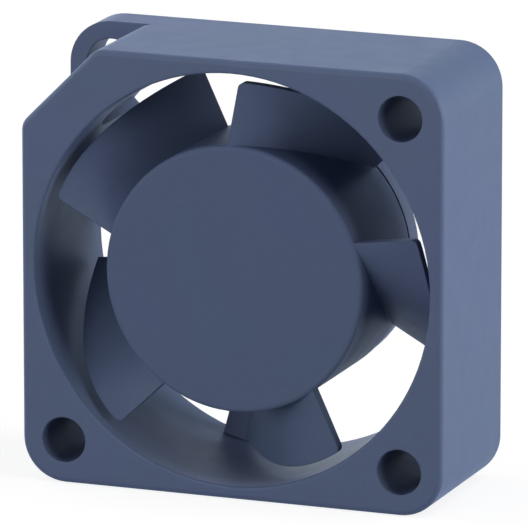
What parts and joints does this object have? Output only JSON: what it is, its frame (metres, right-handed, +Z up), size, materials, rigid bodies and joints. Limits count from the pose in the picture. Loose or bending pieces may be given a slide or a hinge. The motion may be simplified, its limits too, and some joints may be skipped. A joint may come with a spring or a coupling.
{
  "type": "axial cooling fan",
  "caption": "Small square axial fan: bladed hub turning in a round duct, with a brushless motor in the hub and screw holes in the corners.",
  "frame": {"origin": "on the rotor axis, in the outlet face, at the centre of the four rear screw holes", "axes": "+Y runs with the airflow, from intake to outlet, along the rotor axis; +X right and +Z up as seen from the intake side, with the chamfered corner at -X +Z"},
  "size_m": [0.025, 0.01, 0.025],
  "materials": {
    "housing_plastic": "fine satin moulded plastic, blue-grey",
    "impeller_plastic": "fine satin moulded plastic, blue-grey",
    "yoke_steel": "drawn, zinc plated",
    "magnet_ferrite": "bonded ferrite, dull dark grey",
    "brass": "turned",
    "shaft_steel": "ground",
    "nylon": "natural nylon",
    "spring_steel": "bright wire and strip",
    "bearing_steel": "ground and polished",
    "cage_brass": "pressed",
    "shield_steel": "stamped",
    "electrical_steel": "punched sheet, oiled",
    "insulator_plastic": "natural moulded plastic",
    "copper_winding": "enamelled copper wire",
    "tinned_metal": "tinned, satin",
    "board_laminate": "solder mask on laminate",
    "chip_resin": "moulded resin",
    "capacitor_ceramic": "sintered",
    "resistor_ceramic": "glazed",
    "label_film": "blank silver-grey film"
  },
  "bodies": {
    "housing": {"frame": "housing_plastic", "bearing_tube": "brass", "stator_core": "electrical_steel", "front_insulator": "insulator_plastic", "rear_insulator": "insulator_plastic", "winding_pins": "tinned_metal", "circuit_board": "board_laminate", "driver_chip": "chip_resin", "chip_leads": "tinned_metal", "bypass_capacitor": "capacitor_ceramic", "protection_diode": "chip_resin", "limiting_resistor": "resistor_ceramic", "solder_joints": "tinned_metal", "rear_label": "label_film", "front_bearing_outer_ring": "bearing_steel", "front_bearing_shields": "shield_steel", "rear_bearing_outer_ring": "bearing_steel", "rear_bearing_shields": "shield_steel", "coil_1": "copper_winding", "coil_2": "copper_winding", "coil_3": "copper_winding", "coil_4": "copper_winding"},
    "rotor": {"impeller": "impeller_plastic", "rotor_yoke": "yoke_steel", "ring_magnet": "magnet_ferrite", "rotor_boss": "brass", "shaft": "shaft_steel", "shaft_washer": "nylon", "retaining_clip": "spring_steel", "preload_spring": "spring_steel", "front_bearing_inner_ring": "bearing_steel", "rear_bearing_inner_ring": "bearing_steel"},
    "front_ball_set": {"front_bearing_balls": "bearing_steel", "front_bearing_cage": "cage_brass"},
    "rear_ball_set": {"rear_bearing_balls": "bearing_steel", "rear_bearing_cage": "cage_brass"}
  },
  "joints": [
    {"name": "rotor_spin", "type": "hinge", "parent": "housing", "child": "rotor", "pos_m": [0, 0, 0], "axis": [0, -1, 0], "continuous": true},
    {"name": "front_ball_orbit", "type": "hinge", "parent": "housing", "child": "front_ball_set", "pos_m": [0, 0, 0], "axis": [0, -1, 0], "continuous": true},
    {"name": "rear_ball_orbit", "type": "hinge", "parent": "housing", "child": "rear_ball_set", "pos_m": [0, 0, 0], "axis": [0, -1, 0], "continuous": true}
  ],
  "couplings": [
    {"joint": "front_ball_orbit", "follows": "rotor_spin", "ratio": 0.3545},
    {"joint": "rear_ball_orbit", "follows": "rotor_spin", "ratio": 0.3545}
  ]
}
